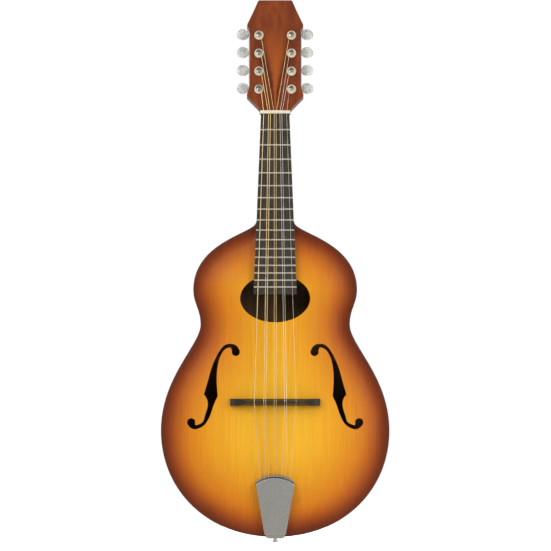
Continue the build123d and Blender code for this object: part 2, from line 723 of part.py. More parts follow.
def make_bushings():
    bushings = []
    face = -HEAD_VENEER_THICKNESS
    for x, z in post_places():
        flange = rod(BUSHING_FLANGE_RADIUS, face - BUSHING_FLANGE_HEIGHT, face, x, z)
        flange = fillet(flange.edges().group_by(Axis.Y)[0], 1.0)
        sleeve = rod(BUSHING_RADIUS, face, face + BUSHING_DEPTH, x, z)
        bore = rod(POST_RADIUS + RUNNING_CLEARANCE, -BIG, BIG, x, z)
        bushings.append(head_frame * (flange + sleeve - bore))
    return bushings


def make_post(x, z, diameter):
    """The string post, and the turns of string wound on it."""
    top = -HEAD_VENEER_THICKNESS - POST_ABOVE_FACE
    foot = SHAFT_DEPTH + GEAR_THICKNESS / 2 + 0.8
    post = rod(POST_RADIUS, top, foot, x, z)
    post = chamfer(post.edges().group_by(Axis.Y)[0], 0.4)
    level = -HEAD_VENEER_THICKNESS - STRING_ABOVE_FACE
    hole = cross_rod(STRING_HOLE_RADIUS, x - 5, x + 5, level - WINDING_HEIGHT / 2 - 1.0, z)
    winding = rod(
        POST_RADIUS + diameter, level - WINDING_HEIGHT / 2, level + WINDING_HEIGHT / 2, x, z
    ) - rod(POST_RADIUS, -BIG, BIG, x, z)
    return [head_frame * (post - hole), head_frame * winding]


def make_gear(x, z):
    """Worm wheel pressed on the foot of the post: straight teeth cut in its rim."""
    low, high = SHAFT_DEPTH - GEAR_THICKNESS / 2, SHAFT_DEPTH + GEAR_THICKNESS / 2
    pitch_angle = 360 / GEAR_TEETH
    ring = Circle(GEAR_RADIUS) - Circle(GEAR_ROOT_RADIUS)
    gap = Pos(0, (GEAR_RADIUS + GEAR_ROOT_RADIUS) / 2) * Rectangle(
        math.pi * GEAR_RADIUS / GEAR_TEETH, GEAR_RADIUS - GEAR_ROOT_RADIUS + 0.6
    )
    gaps = [Rot(0, 0, pitch_angle * (k + 0.5)) * gap for k in range(GEAR_TEETH)]
    wheel = Circle(GEAR_RADIUS) - [cut & ring for cut in gaps] - Circle(POST_RADIUS)
    return head_frame * Pos(x, 0, z) * slab(wheel, low, high)


def make_shaft(x, z):
    """Worm and its shaft, which runs out to the button."""
    side = math.copysign(1, x)
    z_shaft = z + SHAFT_RISE
    inner_end = x - side * (WORM_HALF_LENGTH + 0.3 + EAR_THICKNESS + 0.8)
    outer_end = side * (BUTTON_FROM_CENTRE - BUTTON_RADIUS + BUTTON_SOCKET_DEPTH)
    low, high = sorted((inner_end, outer_end))
    shaft = cross_rod(SHAFT_RADIUS, low, high, SHAFT_DEPTH, z_shaft)
    worm = cross_rod(WORM_RADIUS, x - WORM_HALF_LENGTH, x + WORM_HALF_LENGTH, SHAFT_DEPTH, z_shaft)
    worm = chamfer(worm.edges().filter_by(GeomType.CIRCLE), 0.4)
    return head_frame * (shaft + worm)


def make_button(x, z):
    """Round flat button with a stem, pushed on the end of the shaft."""
    side = math.copysign(1, x)
    z_shaft = z + SHAFT_RISE
    disc = rod(
        BUTTON_RADIUS,
        SHAFT_DEPTH - BUTTON_THICKNESS / 2,
        SHAFT_DEPTH + BUTTON_THICKNESS / 2,
        side * BUTTON_FROM_CENTRE,
        z_shaft,
    )
    disc = fillet(disc.edges().filter_by(GeomType.CIRCLE), 1.8)
    rim_x = BUTTON_FROM_CENTRE - BUTTON_RADIUS
    ends = sorted((side * (rim_x - BUTTON_COLLAR_LENGTH), side * (rim_x + 2)))
    disc += cross_rod(BUTTON_COLLAR_RADIUS, *ends, SHAFT_DEPTH, z_shaft)
    socket_end = side * (BUTTON_FROM_CENTRE - BUTTON_RADIUS + BUTTON_SOCKET_DEPTH)
    low, high = sorted((0, socket_end))
    return head_frame * (disc - cross_rod(SHAFT_RADIUS, low, high, SHAFT_DEPTH, z_shaft))


# ---------------------------------------------------------------- screws
def make_screw(frame):
    """Small domed wood screw; its head stands on the frame's Y = 0, towards +Y."""
    shank = rod(SCREW_RADIUS, -SCREW_LENGTH, 0)
    head = rod(SCREW_HEAD_RADIUS, 0, SCREW_HEAD_HEIGHT)
    head = fillet(head.edges().group_by(Axis.Y)[-1], 0.8)
    slot = block((-0.3, 0.3), (SCREW_HEAD_HEIGHT - 0.5, BIG), (-BIG, BIG))
    return frame * (shank + head - slot)


def tail_screws():
    """Frames of the three screws through the tailpiece's flange; their +Y points down, out of the body."""
    surface = -BODY_END - SHEET_THICKNESS
    front, back = END_PIN_AT - TAIL_SCREW_SPREAD, END_PIN_AT + TAIL_SCREW_SPREAD
    places = ((-TAIL_SCREW_HALF, front), (TAIL_SCREW_HALF, front), (0.0, back))
    return [Location((x, y, surface), (-90, 0, 0)) for x, y in places]


def tail_screw_holes():
    return [frame * rod(SCREW_RADIUS, -SCREW_LENGTH, 1) for frame in tail_screws()]


def end_pin_hole():
    reach = SHEET_THICKNESS + END_PIN_SHANK_LENGTH
    return Pos(0, END_PIN_AT, -BODY_END) * Cylinder(END_PIN_SHANK_RADIUS, 2 * reach)


# ---------------------------------------------------------------- tailpiece
def tail_face(shrink, low, high, crown):
    """Tapered outline of the tailpiece in its own (x, z): narrow foot, wide crowned upper end."""

    def half(z):
        share = z / TAILPIECE_LENGTH
        taper = TAILPIECE_HALF_AT_TOP - TAILPIECE_HALF_AT_FOOT
        return TAILPIECE_HALF_AT_FOOT + taper * share - shrink

    shoulder = high - crown
    return make_face(
        [
            Line((-half(low), low), (half(low), low)),
            Line((half(low), low), (half(shoulder), shoulder)),
            ThreePointArc((half(shoulder), shoulder), (0, high), (-half(shoulder), shoulder)),
            Line((-half(shoulder), shoulder), (-half(low), low)),
        ]
    )


def hook_places():
    """One hook for each string, evenly spaced across the upper part of the base."""
    count = len(string_places(0))
    return [((k - (count - 1) / 2) * HOOK_PITCH, HOOK_AT) for k in range(count)]


def make_tailpiece_base(string_cuts):
    """Bent sheet: a sloping plate with hooks and an upturned front lip, and a flange down the tail."""
    inset = COVER_SHEET + COVER_GAP
    plate = slab(tail_face(inset, 0, TAILPIECE_LENGTH, TAILPIECE_CROWN), -SHEET_THICKNESS, 0)
    lip_ring = tail_face(0, 0, TAILPIECE_LENGTH, TAILPIECE_CROWN) & Pos(
        0, TAILPIECE_LENGTH - TAILPIECE_CROWN
    ) * Rectangle(BIG, 2 * TAILPIECE_CROWN + 2)
    lip_ring -= Pos(0, -LIP_THICKNESS) * tail_face(-BIG / 10, -BIG, TAILPIECE_LENGTH, TAILPIECE_CROWN)
    lip = slab(lip_ring, -LIP_HEIGHT - SHEET_THICKNESS, 0)
    hooks = [
        rod(HOOK_RADIUS, -SHEET_THICKNESS - HOOK_HEIGHT, -SHEET_THICKNESS, x, z)
        for x, z in hook_places()
    ]
    sloping = tail_frame * (plate + lip + hooks)
    top = place(tail_frame, 0, -SHEET_THICKNESS, 0).Y
    flange_face = Pos(0, FLANGE_LENGTH / 2) * RectangleRounded(
        2 * FLANGE_HALF_WIDTH, FLANGE_LENGTH + 16, 6.0
    )
    flange = Pos(0, 0, -BODY_END) * Plane.XY * extrude(flange_face, amount=-SHEET_THICKNESS)
    flange = flange & block((-BIG, BIG), (top, BIG), (-BIG, BIG))
    bend = block(
        (-FLANGE_HALF_WIDTH, FLANGE_HALF_WIDTH),
        (top, top + SHEET_THICKNESS),
        (-BODY_END - SHEET_THICKNESS, -BODY_END + 2),
    )
    holes = [end_pin_hole(), *tail_screw_holes()]
    return sloping + flange + bend - holes - string_cuts


def make_tailpiece_cover():
    """Folded cover that hides the hooks: flat face, two side skirts and a foot wall."""
    high = TAILPIECE_LENGTH - LIP_THICKNESS - COVER_SLOT
    outer = slab(
        tail_face(0, COVER_FOOT_AT, high, TAILPIECE_CROWN), -COVER_HEIGHT - SHEET_THICKNESS, 0
    )
    outer = fillet(outer.edges().filter_by(lambda e: e.center().Y < -COVER_HEIGHT - 1), 0.7)
    inner = slab(
        tail_face(COVER_SHEET, COVER_FOOT_AT + COVER_SHEET, high + 10, TAILPIECE_CROWN),
        -COVER_HEIGHT - SHEET_THICKNESS + COVER_SHEET,
        1,
    )
    under_foot = block(
        (-BIG, BIG), (-SHEET_THICKNESS - COVER_GAP, 1), (COVER_FOOT_AT - 1, COVER_FOOT_AT + 1)
    )
    return tail_frame * (outer - inner - under_foot)


def make_end_pin():
    """Turned strap pin in the end of the body: shank, collar, waisted neck and head."""
    seat = -BODY_END - SHEET_THICKNESS
    neck_top = seat - END_PIN_COLLAR_LENGTH
    head_top = neck_top - END_PIN_NECK_LENGTH
    stages = (
        (END_PIN_SHANK_RADIUS, seat, seat + SHEET_THICKNESS + END_PIN_SHANK_LENGTH),
        (END_PIN_COLLAR_RADIUS, neck_top, seat),
        (END_PIN_NECK_RADIUS, head_top, neck_top),
        (END_PIN_HEAD_RADIUS, head_top - END_PIN_HEAD_LENGTH, head_top),
    )
    turned = [
        Pos(0, END_PIN_AT, (low + high) / 2) * Cylinder(radius, high - low)
        for radius, low, high in stages
    ]
    return turned[0] + turned[1:]


# ---------------------------------------------------------------- strings and bridge
def string_places(pitch):
    """(x, diameter) of all eight strings across a given course pitch, bass to treble."""
    places = []
    middle = (len(STRING_COURSES) - 1) / 2
    for course, (offsets, diameter) in enumerate(STRING_COURSES):
        for half in offsets:
            places.append(((course - middle) * pitch + half * PAIR_GAP, diameter))
    return places


def post_of_string(index):
    """Bass strings use the bass posts upwards; treble strings use the treble posts downwards."""
    per_side = TUNERS_PER_SIDE
    return index if index < per_side else per_side + (2 * per_side - 1 - index)


def crest_point(x):
    """Where a string's centre crosses the bridge."""
    along = SCALE_LENGTH / math.cos(math.radians(NECK_TILT))
    return place(neck_frame, x, -BOARD_THICKNESS - ACTION_AT_BRIDGE, -along)


def string_path(index):
    """Centreline of one string: hook, bridge, nut, post."""
    nut_x, diameter = string_places(COURSE_PITCH_AT_NUT)[index]
    bridge_x = string_places(COURSE_PITCH_AT_BRIDGE)[index][0]
    hook_x, hook_z = hook_places()[index]
    loop = HOOK_RADIUS + 0.25 + diameter / 2
    hook = place(tail_frame, hook_x, -SHEET_THICKNESS - HOOK_HEIGHT / 2, hook_z + loop)
    nut = place(neck_frame, nut_x, -BOARD_THICKNESS - ACTION_AT_NUT, 0.5)
    post_x, post_z = post_places()[post_of_string(index)]
    level = -HEAD_VENEER_THICKNESS - STRING_ABOVE_FACE
    inward = math.copysign(POST_RADIUS + diameter / 2, post_x)
    stop = 3.2 + diameter
    post = place(head_frame, post_x - inward, level, post_z - stop)
    return [hook, crest_point(bridge_x), nut, post]


def tube(path, radius):
    """A round wire along straight runs joined by tangent arcs."""
    line = FilletPolyline(*path, radius=STRING_BEND_RADIUS)
    start = Plane(line @ 0, z_dir=line % 0)
    return sweep(start * Circle(radius), path=line)


def make_string(index):
    """A string with the loop that holds it on its hook."""
    diameter = string_places(1)[index][1]
    path = string_path(index)
    hook_x, hook_z = hook_places()[index]
    ring = Torus(HOOK_RADIUS + 0.25 + diameter / 2, diameter / 2)
    loop = tail_frame * Pos(hook_x, -SHEET_THICKNESS - HOOK_HEIGHT / 2, hook_z) * Rot(90, 0, 0) * ring
    return tube(path, diameter / 2) + loop


def make_bridge(arch_space, string_cuts):
    """One-piece floating bridge: two feet fitted to the arch, an open arch between, a narrow crest."""
    crest = crest_point(0).Y
    crown = -PLATE_THICKNESS - ARCH_HEIGHT
    tip = crown + BRIDGE_TIP_SINK - BRIDGE_TIP_HEIGHT
    half = BRIDGE_LENGTH / 2
    brow_x, brow_y = BRIDGE_CREST_HALF + BRIDGE_BROW, (tip + crest) / 2
    front = make_face(
        [
            Line((-half, 0), (half, 0)),
            Line((half, 0), (half, tip)),
            Spline(
                [(half, tip), (brow_x, brow_y), (BRIDGE_CREST_HALF, crest)],
                tangents=[(-1, -0.1), (-1, -0.4)],
            ),
            Line((BRIDGE_CREST_HALF, crest), (-BRIDGE_CREST_HALF, crest)),
            Spline(
                [(-BRIDGE_CREST_HALF, crest), (-brow_x, brow_y), (-half, tip)],
                tangents=[(-1, 0.4), (-1, 0.1)],
            ),
            Line((-half, tip), (-half, 0)),
        ]
    )
    body = Pos(0, 0, -SCALE_LENGTH - BRIDGE_WIDTH / 2) * extrude(front, amount=BRIDGE_WIDTH)
    # the section, as (z, y): straight sides, sloping in to the crest from above the feet
    foot_half, crest_half = BRIDGE_WIDTH / 2, BRIDGE_CREST_WIDTH / 2
    shoulder = crest + abs(crest - crown) * BRIDGE_BEVEL_SHARE
    section = Polygon(
        (-foot_half, 0),
        (-foot_half, shoulder),
        (-crest_half, crest),
        (crest_half, crest),
        (foot_half, shoulder),
        (foot_half, 0),
        align=None,
    )
    across = Plane(origin=(-BIG / 2, 0, -SCALE_LENGTH), x_dir=(0, 0, 1), z_dir=(1, 0, 0))
    body = body & (across * extrude(mirror(section, about=Plane.XZ), amount=BIG))
    opening = Pos(0, -SCALE_LENGTH) * Rectangle(2 * BRIDGE_ARCH_HALF, 2 * BRIDGE_WIDTH)
    body -= slab(opening, crown - BRIDGE_ARCH_RISE, 0)
    body = body - Pos(0, -PLATE_THICKNESS, 0) * arch_space
    body = body & block((-BIG, BIG), (-BIG, -PLATE_THICKNESS), (-BIG, BIG))
    return body - string_cuts


# ---------------------------------------------------------------- build
def write(name, shape):
    """One STEP file per node; a list is a group of separate solids."""
    solids = []
    for item in shape if isinstance(shape, (list, tuple)) else [shape]:
        solids += item.solids()
    export_step(solids[0] if len(solids) == 1 else Compound(children=solids), f"parts/{name}.step")


def main():
    os.makedirs("parts", exist_ok=True)
    arch_space, under_arch = make_arch_space()
    blank = make_plate_blank(arch_space)
    top_plate = make_top_plate(blank)
    write("top_plate", top_plate)
    write("back_plate", to_back(blank))

    rib_bass, rib_treble = make_ribs()
    write("rib_bass", rib_bass)
    write("rib_treble", rib_treble)
    write("neck_block", make_neck_block())
    write("tail_block", make_tail_block())
    write("linings", make_linings())
    write("top_braces", make_top_braces(under_arch))
    write("back_braces", make_back_braces(under_arch))

    write("neck", make_neck(arch_space))
    write("heel_cap", heel_cap())
    write("neck_bar", neck_frame * neck_bar_space())
    write("head_veneer", make_head_veneer())
    write("fingerboard", make_fingerboard())
    write("frets", make_frets())

    string_cuts = [
        tube(string_path(i), diameter / 2 + 0.05)
        for i, (_, diameter) in enumerate(string_places(1))
    ]
    write("nut", make_nut(string_cuts))
    write("bridge", make_bridge(arch_space, string_cuts))
    write("tailpiece_base", make_tailpiece_base(string_cuts))
    write("tailpiece_cover", make_tailpiece_cover())
    write("end_pin", make_end_pin())

    index = 0
    for course, (offsets, _) in enumerate(STRING_COURSES, start=1):
        write(f"strings_course_{course}", [make_string(index + k) for k in range(len(offsets))])
        index += len(offsets)

    write("tuner_plates", make_tuner_plates())
    write("post_bushings", make_bushings())
    plate_back = HEAD_THICKNESS + TUNER_PLATE_THICKNESS
    screws = [make_screw(head_frame * Pos(x, plate_back, z)) for x, z in plate_screws()]
    write("wood_screws", screws + [make_screw(p) for p in tail_screws()])

    diameter_at_post = {
        post_of_string(i): diameter for i, (_, diameter) in enumerate(string_places(1))
    }
    for number, (x, z) in enumerate(post_places()):
        label = f"{'bass' if x < 0 else 'treble'}_{number % TUNERS_PER_SIDE + 1}"
        write(f"tuner_post_{label}", make_post(x, z, diameter_at_post[number]))
        write(f"tuner_gear_{label}", make_gear(x, z))
        write(f"tuner_shaft_{label}", make_shaft(x, z))
        write(f"tuner_button_{label}", make_button(x, z))


main()
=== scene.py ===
import math

import bmesh
import bpy
import numpy as np
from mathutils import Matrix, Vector
from mathutils.bvhtree import BVHTree


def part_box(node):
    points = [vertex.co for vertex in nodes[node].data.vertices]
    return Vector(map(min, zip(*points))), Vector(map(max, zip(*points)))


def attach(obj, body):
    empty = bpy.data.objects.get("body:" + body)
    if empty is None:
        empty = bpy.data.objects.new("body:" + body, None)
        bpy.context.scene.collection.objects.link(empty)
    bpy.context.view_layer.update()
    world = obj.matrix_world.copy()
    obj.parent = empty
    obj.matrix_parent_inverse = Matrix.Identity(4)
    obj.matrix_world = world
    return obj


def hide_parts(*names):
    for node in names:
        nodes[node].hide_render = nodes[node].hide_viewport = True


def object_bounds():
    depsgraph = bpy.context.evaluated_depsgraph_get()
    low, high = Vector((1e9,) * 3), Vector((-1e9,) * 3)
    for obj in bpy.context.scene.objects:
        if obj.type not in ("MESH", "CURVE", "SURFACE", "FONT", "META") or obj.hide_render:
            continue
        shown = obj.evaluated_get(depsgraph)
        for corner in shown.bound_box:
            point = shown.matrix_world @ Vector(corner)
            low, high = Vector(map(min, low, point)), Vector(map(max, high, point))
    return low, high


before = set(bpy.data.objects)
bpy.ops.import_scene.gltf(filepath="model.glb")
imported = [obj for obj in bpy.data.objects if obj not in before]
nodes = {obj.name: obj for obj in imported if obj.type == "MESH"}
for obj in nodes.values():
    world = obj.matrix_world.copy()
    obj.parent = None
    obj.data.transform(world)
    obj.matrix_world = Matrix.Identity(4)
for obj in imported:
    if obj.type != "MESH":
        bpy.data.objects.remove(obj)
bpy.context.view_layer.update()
scene = bpy.context.scene


# ---------------------------------------------------------------- studio
# White paper lies on the floor under the instrument, in a white room. Broad soft lights stand in
# front on both sides, above and behind, and a long lens looks straight at the front.
def colour(code):
    """An sRGB hex colour as linear values, with full alpha."""
    channels = [int(code[i : i + 2], 16) / 255 for i in (1, 3, 5)]
    return [c / 12.92 if c <= 0.04045 else ((c + 0.055) / 1.055) ** 2.4 for c in channels] + [1.0]


def add(tree, kind, **values):
    """A new node. A value sets a property, or an input found by name or identifier, or links it."""
    node = tree.nodes.new(kind)
    for key, value in values.items():
        if key == "stops":
            ramp = node.color_ramp.elements
            while len(ramp) < len(value):
                ramp.new(1.0)
            for stop, (place, code) in zip(ramp, value):
                stop.position, stop.color = place, colour(code)
            continue
        if key in node.bl_rna.properties:
            setattr(node, key, value)
            continue
        plain = key.replace("_", " ")
        socket = next(s for s in node.inputs if key == s.identifier or plain == s.name)
        if isinstance(value, bpy.types.NodeSocket):
            tree.links.new(value, socket)
        else:
            socket.default_value = value
    return node


def new_finish(name, **constants):
    """A material with one Principled shader; the constants are set on its own sockets."""
    material = bpy.data.materials.new(name)
    material.use_nodes = True
    tree = material.node_tree
    tree.nodes.clear()
    shader = add(tree, "ShaderNodeBsdfPrincipled", **constants)
    add(tree, "ShaderNodeOutputMaterial", Surface=shader.outputs[0])
    return material, tree, shader


def tint(tree, shader, factor, stops):
    """Colours the shader by a value between 0 and 1."""
    tone = add(tree, "ShaderNodeValToRGB", Fac=factor, stops=stops)
    tree.links.new(tone.outputs["Color"], shader.inputs["Base Color"])


def make_piece(name, vertices, faces):
    """A mesh object at the origin."""
    mesh = bpy.data.meshes.new(name)
    mesh.from_pydata([tuple(v) for v in vertices], [], [tuple(f) for f in faces])
    mesh.validate()
    piece = bpy.data.objects.new(name, mesh)
    scene.collection.objects.link(piece)
    return piece


VIEW_WIDTH = 0.6738
VIEW_CENTRE = (0.0004, -0.1976)
CAMERA_DISTANCE = 16.0
FLOOR_HALF = 1.4
FLOOR_FRONT, FLOOR_BACK = -1.0, 1.6
FLOOR_GAP = 0.012  # between the end pin and the paper
LAMPS_AIM_AT = Vector((0, 0, -0.25))
lowest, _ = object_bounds()
floor_z = lowest[2] - FLOOR_GAP

camera = bpy.data.objects.new("camera", bpy.data.cameras.new("camera"))
scene.collection.objects.link(camera)
camera.location = (VIEW_CENTRE[0], -CAMERA_DISTANCE, VIEW_CENTRE[1])
camera.rotation_euler = (math.pi / 2, 0, 0)
camera.data.lens = camera.data.sensor_width * CAMERA_DISTANCE / VIEW_WIDTH
camera.data.clip_end = 60
scene.camera = camera

sheet = [
    (-FLOOR_HALF, FLOOR_FRONT), (FLOOR_HALF, FLOOR_FRONT),
    (FLOOR_HALF, FLOOR_BACK), (-FLOOR_HALF, FLOOR_BACK),
]
paper = make_piece("paper_floor", [(x, y, floor_z) for x, y in sheet], [(0, 1, 2, 3)])
# uncoated white paper: bright, matt, with a faint unevenness of the sheet, and a painted glow
paper_finish, tree, shader = new_finish(
    "white_paper_with_painted_glow", Roughness=0.9, Emission_Color=colour("#ffffff")
)
place = add(tree, "ShaderNodeTexCoord").outputs["Object"]
fibres = add(tree, "ShaderNodeTexNoise", Vector=place, Scale=9.0, Detail=4.0)
tint(tree, shader, fibres.outputs["Fac"], [(0.3, "#f4f4f2"), (0.7, "#f8f8f7")])
# painted light: the sheet glows, more strongly behind the instrument, until it meets the white of the room
depth = add(tree, "ShaderNodeSeparateXYZ", Vector=place)
glow = add(
    tree, "ShaderNodeMapRange", interpolation_type="SMOOTHSTEP", Value=depth.outputs["Y"],
    From_Min=-0.15, From_Max=0.3, To_Min=0.0, To_Max=0.9,
)
tree.links.new(glow.outputs["Result"], shader.inputs["Emission Strength"])
paper.data.materials.append(paper_finish)

# the room is white to the eye and dim as a light, so that it lays no haze over the lacquer
world = bpy.data.worlds.new("studio_air")
world.use_nodes = True
air = world.node_tree
air.nodes.clear()
dim = add(air, "ShaderNodeBackground", Color=colour("#ffffff"), Strength=0.16)
white = add(air, "ShaderNodeBackground", Color=colour("#ffffff"), Strength=1.0)
seen = add(air, "ShaderNodeLightPath").outputs["Is Camera Ray"]
room = add(air, "ShaderNodeMixShader", Fac=seen, Shader=dim.outputs[0], Shader_001=white.outputs[0])
add(air, "ShaderNodeOutputWorld", Surface=room.outputs[0])
scene.world = world
scene.view_settings.view_transform = "Standard"

for name, spot, width, power in (
    ("key_panel", (-1.6, -2.6, 1.2), 1.8, 52),
    ("fill_panel", (1.9, -2.4, 0.5), 1.8, 44),
    ("top_panel", (0.0, -0.9, 2.0), 1.6, 12),
    ("back_panel", (0.6, 2.6, 1.2), 1.8, 60),
):
    lamp = bpy.data.objects.new(name, bpy.data.lights.new(name, "AREA"))
    scene.collection.objects.link(lamp)
    lamp.data.size, lamp.data.energy = width, power
    lamp.location = spot
    lamp.rotation_euler = (LAMPS_AIM_AT - Vector(spot)).to_track_quat("-Z", "Y").to_euler()


# ---------------------------------------------------------------- belly
# The front plate is spruce, two quarter-sawn halves joined on the centreline and carved to a low
# arch. The yellow-to-brown burst is sprayed from the rim inwards under a satin lacquer.
def weld_copy(name, sharp_degrees=32.0):
    """A welded, smooth-shaded copy of one CAD node's mesh."""
    mesh = nodes[name].data.copy()
    mesh.name = name + "_finished"
    work = bmesh.new()
    work.from_mesh(mesh)
    bmesh.ops.remove_doubles(work, verts=work.verts, dist=2e-6)
    bmesh.ops.dissolve_degenerate(work, edges=work.edges, dist=1e-7)
    work.to_mesh(mesh)
    work.free()
    if "custom_normal" in mesh.attributes:
        mesh.attributes.remove(mesh.attributes["custom_normal"])
    mesh.materials.clear()
    mesh.shade_smooth()
    mesh.set_sharp_from_angle(angle=math.radians(sharp_degrees))
    piece = bpy.data.objects.new(name + "_finished", mesh)
    scene.collection.objects.link(piece)
    return piece


BODY_MIDDLE = -0.34  # a height well inside the outline of the body


def out_from_middle(polygon):
    """The sideways direction from the middle of the body to a face of a rib."""
    return Vector((polygon.center.x, 0, polygon.center.z - BODY_MIDDLE))


def rim_tree():
    """A search tree over the outer faces of both ribs, to measure how far a point is from the rim."""
    corners, faces = [], []
    for name in ("rib_bass", "rib_treble"):
        mesh = nodes[name].data
        for polygon in mesh.polygons:
            if abs(polygon.normal.y) < 0.5 and polygon.normal.dot(out_from_middle(polygon)) > 0:
                faces.append([len(corners) + k for k in range(len(polygon.vertices))])
                corners.extend(mesh.vertices[k].co.copy() for k in polygon.vertices)
    return BVHTree.FromPolygons(corners, faces)


rim = rim_tree()
rib_low, rib_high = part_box("rib_bass")
rim_level = (rib_low[1] + rib_high[1]) / 2


def mark_edge_distance(piece):
    """Stores each point's distance in from the rim, in metres, as the attribute edge_distance."""
    values = []
    for vertex in piece.data.vertices:
        hit = rim.find_nearest(Vector((vertex.co.x, rim_level, vertex.co.z)))
        values.append(hit[3])
    layer = piece.data.attributes.new("edge_distance", "FLOAT", "POINT")
    layer.data.foreach_set("value", values)
    return values


def refine(piece, longest):
    """Splits edges that are longer than a limit, so that the burst has enough points to follow."""
    work = bmesh.new()
    work.from_mesh(piece.data)
    for _ in range(4):
        long_edges = [e for e in work.edges if e.calc_length() > longest]
        if not long_edges:
            break
        bmesh.ops.subdivide_edges(work, edges=long_edges, cuts=1)
        bmesh.ops.triangulate(work, faces=[f for f in work.faces if len(f.verts) > 3])
    work.to_mesh(piece.data)
    work.free()


BURST = (
    (0.000, "#5f2608"),
    (0.045, "#6b2a07"),
    (0.085, "#813507"),
    (0.130, "#964307"),
    (0.190, "#b05808"),
    (0.260, "#c66c09"),
    (0.340, "#d57e0e"),
    (0.460, "#de8d12"),
    (0.600, "#e79c18"),
    (0.780, "#eeaa20"),
    (1.000, "#f5b82a"),
)
BURST_REACH = 0.100  # the yellow is even from this far inside the rim


def sunburst(name, grain, roughness):
    """Sprayed burst over wood, with the growth lines of the wood under it."""
    material, tree, shader = new_finish(
        name, Roughness=roughness, Specular_IOR_Level=0.22, Coat_Weight=0.06, Coat_Roughness=0.2, IOR=1.5
    )
    inset = add(tree, "ShaderNodeAttribute", attribute_name="edge_distance").outputs["Fac"]
    place = add(tree, "ShaderNodeTexCoord").outputs["Object"]
    # the spray drifts by a few millimetres along the rim
    drift = add(tree, "ShaderNodeTexNoise", Vector=place, Scale=16.0, Detail=2.0)
    wander = add(
        tree, "ShaderNodeMapRange", Value=drift.outputs["Fac"], To_Min=-0.0035, To_Max=0.0035
    )
    drifted = add(
        tree, "ShaderNodeMath", operation="ADD", Value=inset, Value_001=wander.outputs["Result"]
    )
    share = add(
        tree, "ShaderNodeMapRange", Value=drifted.outputs["Value"], From_Max=BURST_REACH, To_Max=1.0
    )
    spray = add(tree, "ShaderNodeValToRGB", Fac=share.outputs["Result"], stops=BURST)
    stretched = add(tree, "ShaderNodeMapping", Vector=place, Scale=grain)
    lines = add(
        tree, "ShaderNodeTexNoise", Vector=stretched.outputs["Vector"], Scale=1.0, Detail=5.0,
        Roughness=0.65,
    )
    shade = add(
        tree, "ShaderNodeValToRGB", Fac=lines.outputs["Fac"],
        stops=[(0.34, "#efeae0"), (0.50, "#f9f6f1"), (0.64, "#ffffff")],
    )
    mixed = add(
        tree, "ShaderNodeMixRGB", blend_type="MULTIPLY", Fac=1.0,
        Color1=spray.outputs["Color"], Color2=shade.outputs["Color"],
    )
    tree.links.new(mixed.outputs["Color"], shader.inputs["Base Color"])
    bump = add(tree, "ShaderNodeBump", Strength=0.05, Distance=0.0003, Height=lines.outputs["Fac"])
    tree.links.new(bump.outputs["Normal"], shader.inputs["Normal"])
    return material


def bare_wood(name, light, dark, roughness=0.75):
    """Unfinished sanded wood with soft growth lines along the body."""
    material, tree, shader = new_finish(name, Roughness=roughness)
    place = add(tree, "ShaderNodeTexCoord").outputs["Object"]
    stretched = add(tree, "ShaderNodeMapping", Vector=place, Scale=(420.0, 420.0, 18.0))
    lines = add(tree, "ShaderNodeTexNoise", Vector=stretched.outputs["Vector"], Scale=1.0, Detail=4.0)
    tint(tree, shader, lines.outputs["Fac"], [(0.35, dark), (0.65, light)])
    bump = add(tree, "ShaderNodeBump", Strength=0.2, Distance=0.0002, Height=lines.outputs["Fac"])
    tree.links.new(bump.outputs["Normal"], shader.inputs["Normal"])
    return material


LONGEST_EDGE = 0.007  # of the mesh of a plate, in metres
RIM_STRIP = 0.0025  # upright faces this near the rim are lacquered, further in they are cut edges


def finish_plate(name, outside, inside, cut_edge, outer_side):
    """Lacquer outside, bare wood inside, and a darkened wall in every hole cut through the plate."""
    plate = weld_copy(name)
    refine(plate, LONGEST_EDGE)
    distance = mark_edge_distance(plate)
    for material in (outside, inside, cut_edge):
        plate.data.materials.append(material)
    for polygon in plate.data.polygons:
        facing = polygon.normal.y * outer_side
        near_rim = min(distance[k] for k in polygon.vertices) < RIM_STRIP
        if facing < -0.5:
            polygon.material_index = 1
        elif abs(facing) < 0.35 and not near_rim:
            polygon.material_index = 2
    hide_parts(name)
    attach(plate, "mandolin")


# quarter-sawn spruce: straight growth rings about a millimetre apart, running up the body
spruce = sunburst("lacquered_spruce", (1100.0, 300.0, 9.0), 0.42)
bare_spruce = bare_wood("bare_spruce", "#8a6a34", "#6f5227")
hole_edge = bare_wood("stained_cut_edge", "#3a1c0a", "#241005", 0.6)
finish_plate("top_plate", spruce, bare_spruce, hole_edge, -1)


# ---------------------------------------------------------------- back and sides
# Flamed maple, carved for the back and bent over a hot iron for the two ribs. The stain brings the
# flame up as bands across the grain, and the burst darkens towards the rim as on the front.
def maple_finish(name, stops, wave_scale):
    """Stained flamed maple whose bands run across the grain."""
    material, tree, shader = new_finish(
        name, Roughness=0.3, Coat_Weight=0.4, Coat_Roughness=0.15, IOR=1.5
    )
    place = add(tree, "ShaderNodeTexCoord").outputs["Object"]
    swirl = add(tree, "ShaderNodeTexNoise", Vector=place, Scale=22.0, Detail=3.0)
    bent = add(
        tree, "ShaderNodeMixRGB", blend_type="ADD", Fac=0.018, Color1=place, Color2=swirl.outputs["Color"]
    )
    flame = add(
        tree, "ShaderNodeTexWave", bands_direction="Z", Vector=bent.outputs["Color"], Scale=wave_scale,
        Distortion=3.0, Detail=2.0, Detail_Scale=1.2,
    )
    tone = add(tree, "ShaderNodeValToRGB", Fac=flame.outputs["Fac"], stops=stops)
    return material, tree, shader, tone


